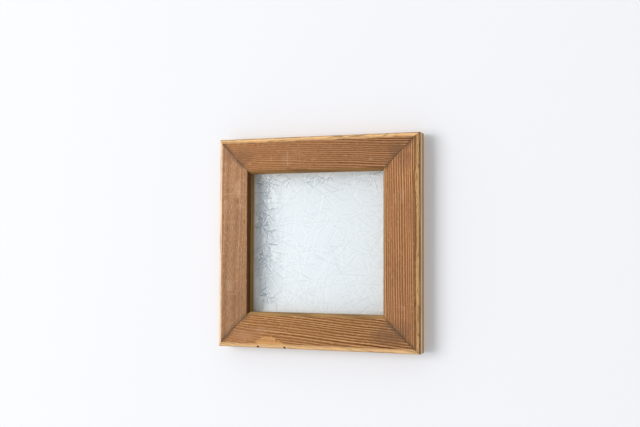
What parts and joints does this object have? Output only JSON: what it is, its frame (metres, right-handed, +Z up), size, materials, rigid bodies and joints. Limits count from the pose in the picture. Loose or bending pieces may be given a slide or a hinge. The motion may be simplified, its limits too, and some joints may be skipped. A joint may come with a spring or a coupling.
{
  "type": "picture frame",
  "caption": "Square wall-hung picture frame of mitred reclaimed wood rails, glazed with figured glass over a white card, with turn buttons and a ring hanger on the back.",
  "frame": {"origin": "where the nail bears on the inside of the hanger ring, on the surface of the wall", "axes": "+X to the right of someone facing the frame, +Y from the face towards the wall, +Z up"},
  "size_m": [0.3, 0.0328, 0.3],
  "materials": {
    "reclaimed_wood": "weathered old softwood, unvarnished, fresh cut on the chamfers",
    "nail_steel": "bare bent strip",
    "figured_glass": "clear rolled glass with a needle figure",
    "white_card": "plain matt white",
    "spacer_wood": "planed bare softwood strip",
    "plywood": "sanded bare plywood",
    "brass_plate": "dull brass plating",
    "screw_brass": "dull brass plating",
    "bumper_rubber": "matt moulded rubber"
  },
  "bodies": {
    "frame": {"top_rail": "reclaimed_wood", "bottom_rail": "reclaimed_wood", "left_rail": "reclaimed_wood", "right_rail": "reclaimed_wood", "v_nail_bottom_left_outer": "nail_steel", "v_nail_bottom_left_inner": "nail_steel", "v_nail_bottom_right_outer": "nail_steel", "v_nail_bottom_right_inner": "nail_steel", "v_nail_top_left_outer": "nail_steel", "v_nail_top_left_inner": "nail_steel", "v_nail_top_right_outer": "nail_steel", "v_nail_top_right_inner": "nail_steel", "figured_glass": "figured_glass", "white_card": "white_card", "spacer_top": "spacer_wood", "spacer_bottom": "spacer_wood", "spacer_left": "spacer_wood", "spacer_right": "spacer_wood", "back_board": "plywood", "turn_button_screw_left_upper": "screw_brass", "turn_button_screw_left_lower": "screw_brass", "turn_button_screw_right_upper": "screw_brass", "turn_button_screw_right_lower": "screw_brass", "hanger_strap": "brass_plate", "hanger_screw_upper": "screw_brass", "hanger_screw_lower": "screw_brass", "wall_bumper_left": "bumper_rubber", "wall_bumper_right": "bumper_rubber"},
    "ring": {"hanger_ring": "brass_plate"},
    "button_left_upper": {"turn_button_left_upper": "brass_plate"},
    "button_left_lower": {"turn_button_left_lower": "brass_plate"},
    "button_right_upper": {"turn_button_right_upper": "brass_plate"},
    "button_right_lower": {"turn_button_right_lower": "brass_plate"}
  },
  "joints": [
    {"name": "ring_swing", "type": "hinge", "parent": "frame", "child": "ring", "pos_m": [0, -0.00245, -0.01], "axis": [-1, 0, 0], "range_deg": [0, 180]},
    {"name": "button_left_upper_turn", "type": "hinge", "parent": "frame", "child": "button_left_upper", "pos_m": [-0.114, -0.0039, -0.088], "axis": [0, 1, 0], "range_deg": [-90, 90]},
    {"name": "button_left_lower_turn", "type": "hinge", "parent": "frame", "child": "button_left_lower", "pos_m": [-0.114, -0.0039, -0.198], "axis": [0, 1, 0], "range_deg": [-90, 90]},
    {"name": "button_right_upper_turn", "type": "hinge", "parent": "frame", "child": "button_right_upper", "pos_m": [0.114, -0.0039, -0.088], "axis": [0, 1, 0], "range_deg": [-90, 90]},
    {"name": "button_right_lower_turn", "type": "hinge", "parent": "frame", "child": "button_right_lower", "pos_m": [0.114, -0.0039, -0.198], "axis": [0, 1, 0], "range_deg": [-90, 90]}
  ]
}
